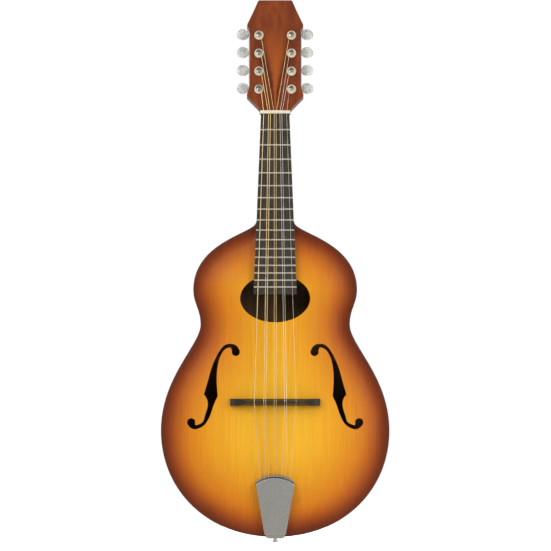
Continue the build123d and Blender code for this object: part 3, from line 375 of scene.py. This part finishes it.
def finish_back():
    """The maple of the back, with the burst darkening towards the rim."""
    material, tree, shader, tone = maple_finish(
        "lacquered_flamed_maple", [(0.0, "#c9b59c"), (0.5, "#f0e6d8"), (1.0, "#ffffff")], 38.0
    )
    inset = add(tree, "ShaderNodeAttribute", attribute_name="edge_distance").outputs["Fac"]
    share = add(tree, "ShaderNodeMapRange", Value=inset, From_Max=0.085, To_Max=1.0)
    stops = [
        (0.0, "#4d1d06"), (0.12, "#6b2a07"), (0.35, "#8f4009"), (0.7, "#b35f12"), (1.0, "#c4741c"),
    ]
    spray = add(tree, "ShaderNodeValToRGB", Fac=share.outputs["Result"], stops=stops)
    mixed = add(
        tree, "ShaderNodeMixRGB", blend_type="MULTIPLY", Fac=1.0,
        Color1=spray.outputs["Color"], Color2=tone.outputs["Color"],
    )
    tree.links.new(mixed.outputs["Color"], shader.inputs["Base Color"])
    return material


back_maple = finish_back()
bare_maple = bare_wood("bare_maple", "#6d5028", "#5a401e")
finish_plate("back_plate", back_maple, bare_maple, hole_edge, 1)

rib_maple, tree, shader, tone = maple_finish(
    "lacquered_rib_maple", [(0.0, "#5a2307"), (0.5, "#6f2d08"), (1.0, "#843a0c")], 38.0
)
tree.links.new(tone.outputs["Color"], shader.inputs["Base Color"])
for name in ("rib_bass", "rib_treble"):
    rib = weld_copy(name)
    rib.data.materials.append(rib_maple)
    rib.data.materials.append(bare_maple)
    for polygon in rib.data.polygons:
        polygon.material_index = int(polygon.normal.dot(out_from_middle(polygon)) < 0)
    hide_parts(name)
    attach(rib, "mandolin")


# ---------------------------------------------------------------- inside of the body
# Blocks, linings and braces are plain spruce, glued in bare, and show only through the holes in the
# front. The bar that stiffens the neck is cold-drawn steel, let in under the fingerboard.
def dress(names, material):
    """Gives CAD nodes that keep their shape a finish."""
    for name in names:
        mesh = nodes[name].data
        mesh.materials.clear()
        mesh.materials.append(material)


dress(["neck_block", "tail_block", "linings", "top_braces", "back_braces"], bare_spruce)
bar_steel, tree, shader = new_finish("cold_drawn_steel", Metallic=1.0, Roughness=0.45)
place = add(tree, "ShaderNodeTexCoord").outputs["Object"]
drawn = add(tree, "ShaderNodeMapping", Vector=place, Scale=(3000.0, 3000.0, 20.0))
streaks = add(tree, "ShaderNodeTexNoise", Vector=drawn.outputs["Vector"], Scale=1.0)
tint(tree, shader, streaks.outputs["Fac"], [(0.3, "#8a8a88"), (0.7, "#a8a8a5")])
dress(["neck_bar"], bar_steel)


# ---------------------------------------------------------------- neck and head
# The neck and head are one piece of mahogany under a red-brown stain. The face of the head carries a
# veneer of the same wood, lighter along the middle. A black celluloid cap is glued under the heel.
def mahogany(name, stops, roughness):
    """Open-grained wood: long streaks up the neck and short dark pores along them."""
    material, tree, shader = new_finish(
        name, Roughness=roughness, Specular_IOR_Level=0.35, Coat_Weight=0.12, Coat_Roughness=0.15, IOR=1.5
    )
    place = add(tree, "ShaderNodeTexCoord").outputs["Object"]
    swirl = add(tree, "ShaderNodeTexNoise", Vector=place, Scale=14.0, Detail=2.0)
    bent = add(
        tree, "ShaderNodeMixRGB", blend_type="ADD", Fac=0.02, Color1=place, Color2=swirl.outputs["Color"]
    )
    long_way = add(
        tree, "ShaderNodeMapping", Vector=bent.outputs["Color"], Scale=(150.0, 150.0, 9.0)
    )
    streaks = add(
        tree, "ShaderNodeTexNoise", Vector=long_way.outputs["Vector"], Scale=1.0, Detail=5.0
    )
    tone = add(tree, "ShaderNodeValToRGB", Fac=streaks.outputs["Fac"], stops=stops)
    pore_way = add(tree, "ShaderNodeMapping", Vector=place, Scale=(2600.0, 2600.0, 160.0))
    pores = add(tree, "ShaderNodeTexNoise", Vector=pore_way.outputs["Vector"], Scale=1.0, Detail=1.0)
    dark = add(
        tree, "ShaderNodeValToRGB", Fac=pores.outputs["Fac"], stops=[(0.30, "#8f7a6c"), (0.42, "#ffffff")]
    )
    mixed = add(
        tree, "ShaderNodeMixRGB", blend_type="MULTIPLY", Fac=0.8,
        Color1=tone.outputs["Color"], Color2=dark.outputs["Color"],
    )
    tree.links.new(mixed.outputs["Color"], shader.inputs["Base Color"])
    return material, tree, shader, place, mixed


neck_wood, _, _, _, _ = mahogany(
    "stained_mahogany", [(0.30, "#5a2208"), (0.5, "#73300c"), (0.72, "#8c4212")], 0.32
)
neck = weld_copy("neck")
neck.data.materials.append(neck_wood)
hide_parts("neck")
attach(neck, "mandolin")

head_face, tree, shader, place, figure = mahogany(
    "lacquered_head_veneer", [(0.28, "#6c2904"), (0.5, "#7f3505"), (0.74, "#924108")], 0.3
)
# the lighter heart of the veneer is a wedge: about 4 mm wide at the nut and 34 mm by the upper
# posts, with a darker stripe along each side of it, and it fades out towards the top of the head
across = add(tree, "ShaderNodeSeparateXYZ", Vector=place)
swirl = add(tree, "ShaderNodeTexNoise", Vector=place, Scale=30.0, Detail=2.0)
wander = add(tree, "ShaderNodeMapRange", Value=swirl.outputs["Fac"], To_Min=-0.003, To_Max=0.003)
shifted = add(
    tree, "ShaderNodeMath", operation="ADD",
    Value=across.outputs["X"], Value_001=wander.outputs["Result"],
)
from_middle = add(tree, "ShaderNodeMath", operation="ABSOLUTE", Value=shifted.outputs["Value"])
wedge_half = add(
    tree, "ShaderNodeMapRange", interpolation_type="SMOOTHSTEP", Value=across.outputs["Z"],
    From_Min=0.02, From_Max=0.10, To_Min=0.0018, To_Max=0.017,
)
part_way = add(
    tree, "ShaderNodeMath", operation="DIVIDE",
    Value=from_middle.outputs["Value"], Value_001=wedge_half.outputs["Result"],
)
fading = add(
    tree, "ShaderNodeMapRange", interpolation_type="SMOOTHSTEP", Value=across.outputs["Z"],
    From_Min=0.055, From_Max=0.115, To_Min=0.85, To_Max=0.1,
)
profile = add(
    tree, "ShaderNodeValToRGB", Fac=part_way.outputs["Value"],
    stops=[(0.0, "#ffffff"), (0.45, "#d8d8d8"), (0.95, "#000000")],
)
heart = add(
    tree, "ShaderNodeMath", operation="MULTIPLY",
    Value=profile.outputs["Color"], Value_001=fading.outputs["Result"],
)
beside = add(
    tree, "ShaderNodeMath", operation="MULTIPLY", Value=part_way.outputs["Value"], Value_001=0.4
)
stripe = add(
    tree, "ShaderNodeValToRGB", Fac=beside.outputs["Value"],
    stops=[(0.25, "#ffffff"), (0.48, "#a8968a"), (0.95, "#ffffff")],
)
striped = add(
    tree, "ShaderNodeMixRGB", blend_type="MULTIPLY", Fac=fading.outputs["Result"],
    Color1=figure.outputs["Color"], Color2=stripe.outputs["Color"],
)
lit = add(
    tree, "ShaderNodeMixRGB", Fac=heart.outputs["Value"],
    Color1=striped.outputs["Color"], Color2=colour("#a9520f"),
)
tree.links.new(lit.outputs["Color"], shader.inputs["Base Color"])
veneer = weld_copy("head_veneer")
veneer.data.materials.append(head_face)
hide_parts("head_veneer")
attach(veneer, "mandolin")

heel_plastic, tree, shader = new_finish("black_celluloid", Roughness=0.3)
place = add(tree, "ShaderNodeTexCoord").outputs["Object"]
cloud = add(tree, "ShaderNodeTexNoise", Vector=place, Scale=300.0, Detail=2.0)
tint(tree, shader, cloud.outputs["Fac"], [(0.3, "#15120f"), (0.7, "#211d19")])
dress(["heel_cap"], heel_plastic)


# ---------------------------------------------------------------- fingerboard, frets and nut
# The board is ebony-dyed pearwood, oiled and greyed by play. Nickel-silver frets are hammered into
# sawn slots, and a bone nut stands against the end of the board.
def dark_wood(name, stops, roughness):
    """Fine-grained dark wood with narrow streaks along its length."""
    material, tree, shader = new_finish(name, Roughness=roughness, Specular_IOR_Level=0.25)
    place = add(tree, "ShaderNodeTexCoord").outputs["Object"]
    long_way = add(tree, "ShaderNodeMapping", Vector=place, Scale=(700.0, 700.0, 28.0))
    streaks = add(
        tree, "ShaderNodeTexNoise", Vector=long_way.outputs["Vector"], Scale=1.0, Detail=6.0, Roughness=0.7
    )
    tint(tree, shader, streaks.outputs["Fac"], stops)
    bump = add(tree, "ShaderNodeBump", Strength=0.25, Distance=0.0002, Height=streaks.outputs["Fac"])
    tree.links.new(bump.outputs["Normal"], shader.inputs["Normal"])
    return material


board_wood = dark_wood(
    "oiled_dyed_pearwood", [(0.32, "#241f1a"), (0.5, "#37312a"), (0.70, "#4a4238")], 0.5
)
board = weld_copy("fingerboard")
board.data.materials.append(board_wood)
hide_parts("fingerboard")
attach(board, "mandolin")


def bright_metal(name, light, dark, roughness, grain):
    """Plated or polished metal with fine working marks in one direction."""
    material, tree, shader = new_finish(name, Metallic=1.0)
    place = add(tree, "ShaderNodeTexCoord").outputs["Object"]
    drawn = add(tree, "ShaderNodeMapping", Vector=place, Scale=grain)
    marks = add(tree, "ShaderNodeTexNoise", Vector=drawn.outputs["Vector"], Scale=1.0, Detail=3.0)
    tint(tree, shader, marks.outputs["Fac"], [(0.3, dark), (0.7, light)])
    rough = add(
        tree, "ShaderNodeMapRange", Value=marks.outputs["Fac"],
        To_Min=roughness * 0.75, To_Max=roughness * 1.35,
    )
    tree.links.new(rough.outputs["Result"], shader.inputs["Roughness"])
    bump = add(tree, "ShaderNodeBump", Strength=0.08, Distance=0.0001, Height=marks.outputs["Fac"])
    tree.links.new(bump.outputs["Normal"], shader.inputs["Normal"])
    return material


# nickel silver, crowned with a file and polished along each fret
fret_metal = bright_metal("polished_nickel_silver", "#e8e4da", "#cfcabd", 0.2, (40.0, 2500.0, 2500.0))
frets = weld_copy("frets", 50.0)
frets.data.materials.append(fret_metal)
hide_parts("frets")
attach(frets, "mandolin")

# bone: warm white, waxy, with faint darker pores along the nut
bone, tree, shader = new_finish(
    "polished_bone", Roughness=0.28, Subsurface_Weight=0.15, Subsurface_Scale=0.002
)
place = add(tree, "ShaderNodeTexCoord").outputs["Object"]
along = add(tree, "ShaderNodeMapping", Vector=place, Scale=(250.0, 1500.0, 1500.0))
grain = add(tree, "ShaderNodeTexNoise", Vector=along.outputs["Vector"], Scale=1.0, Detail=4.0)
tint(tree, shader, grain.outputs["Fac"], [(0.3, "#d8cdae"), (0.6, "#ece4cd")])
dress(["nut"], bone)


# ---------------------------------------------------------------- bridge
# One piece of dyed hardwood, planed to a narrow crest and fitted by hand to the arch. Only the
# pressure of the strings holds it, so it has no glue or screws.
bridge_wood = dark_wood("dyed_hardwood", [(0.3, "#1d1914"), (0.5, "#322c23"), (0.7, "#453d30")], 0.45)
bridge = weld_copy("bridge")
bridge.data.materials.append(bridge_wood)
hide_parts("bridge")
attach(bridge, "mandolin")


# ---------------------------------------------------------------- tailpiece and end pin
# Pressed steel, nickel plated and brushed lengthwise. The base is screwed over the end of the body
# and the cover slides on over its hooks. The end pin is turned brass under the same plating.
plate_metal = bright_metal("brushed_nickel_plate", "#b9b9b5", "#9c9c99", 0.34, (2200.0, 2200.0, 60.0))
dress(["tailpiece_base", "tuner_plates"], plate_metal)
cover = weld_copy("tailpiece_cover", 40.0)
cover.data.materials.append(plate_metal)
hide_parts("tailpiece_cover")
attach(cover, "tail_cover")
polished_nickel = bright_metal(
    "polished_nickel_plate", "#dedbd2", "#c8c5bc", 0.16, (1800.0, 1800.0, 1800.0)
)
dress(["end_pin", "wood_screws"], polished_nickel)


# ---------------------------------------------------------------- strings
# Steel music wire with a loop on each hook. The two thin courses are plain and the three thick
# ones are wound with bronze, wire laid against wire.
WINDING_PITCH = 0.0005  # drawn far coarser than the real wire, so that it shows


def wound(name, light, dark):
    """Metal with the close turns of a winding drawn on it."""
    material, tree, shader = new_finish(name, Metallic=1.0, Roughness=0.42)
    place = add(tree, "ShaderNodeTexCoord").outputs["Object"]
    turns = add(
        tree, "ShaderNodeTexWave", bands_direction="Z", Vector=place, Scale=math.pi * 2 / WINDING_PITCH / 20
    )
    tint(tree, shader, turns.outputs["Fac"], [(0.0, dark), (1.0, light)])
    bump = add(tree, "ShaderNodeBump", Strength=0.1, Distance=0.0001, Height=turns.outputs["Fac"])
    tree.links.new(bump.outputs["Normal"], shader.inputs["Normal"])
    return material


bronze_wound = wound("bronze_wound_steel", "#f0d7a0", "#d8ba7c")

# plain wire: drawn bright, with soft streaks a few centimetres long and no marks across it
music_wire, tree, shader = new_finish("plain_music_wire", Metallic=1.0, Roughness=0.45)
place = add(tree, "ShaderNodeTexCoord").outputs["Object"]
drawn = add(tree, "ShaderNodeMapping", Vector=place, Scale=(60.0, 60.0, 30.0))
streaks = add(tree, "ShaderNodeTexNoise", Vector=drawn.outputs["Vector"], Scale=1.0)
tint(tree, shader, streaks.outputs["Fac"], [(0.3, "#e6dfc8"), (0.7, "#f4efdf")])
dress(["strings_course_1", "strings_course_2", "strings_course_3"], bronze_wound)
dress(["strings_course_4", "strings_course_5"], music_wire)


# ---------------------------------------------------------------- tuning machines
# Four on a strip for each side: a turned post with a brass wheel, driven by a worm on the shaft of
# a round pearl button. Cream bushings guide the posts through the face of the head.
gear_brass = bright_metal("machined_brass", "#d9b566", "#b8913f", 0.3, (900.0, 900.0, 900.0))

cream, tree, shader = new_finish("cream_moulded_plastic", Roughness=0.3)
place = add(tree, "ShaderNodeTexCoord").outputs["Object"]
cloud = add(tree, "ShaderNodeTexNoise", Vector=place, Scale=220.0, Detail=3.0)
tint(tree, shader, cloud.outputs["Fac"], [(0.3, "#d9ccaa"), (0.7, "#efe6cd")])
dress(["post_bushings"], cream)

# pearloid: chips of pearly celluloid, some milky and some greyer, under a clear polished skin
pearloid, tree, shader = new_finish(
    "polished_pearloid", Roughness=0.2, Coat_Weight=0.5, Coat_Roughness=0.08
)
place = add(tree, "ShaderNodeTexCoord").outputs["Object"]
swirl = add(tree, "ShaderNodeTexNoise", Vector=place, Scale=260.0, Detail=3.0)
bent = add(
    tree, "ShaderNodeMixRGB", blend_type="ADD", Fac=0.004, Color1=place, Color2=swirl.outputs["Color"]
)
chips = add(tree, "ShaderNodeTexVoronoi", Vector=bent.outputs["Color"], Scale=330.0)
tint(tree, shader, chips.outputs["Color"], [(0.15, "#b9bdba"), (0.5, "#d5d6d1"), (0.9, "#eeeeea")])

labels = [f"{side}_{k}" for side in ("bass", "treble") for k in range(1, 5)]
dress([f"tuner_gear_{label}" for label in labels], gear_brass)
dress([f"tuner_post_{label}" for label in labels], polished_nickel)
dress([f"tuner_shaft_{label}" for label in labels], polished_nickel)
for label in labels:
    button = weld_copy(f"tuner_button_{label}", 45.0)
    button.data.materials.append(pearloid)
    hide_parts(f"tuner_button_{label}")
    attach(button, f"button_{label}")
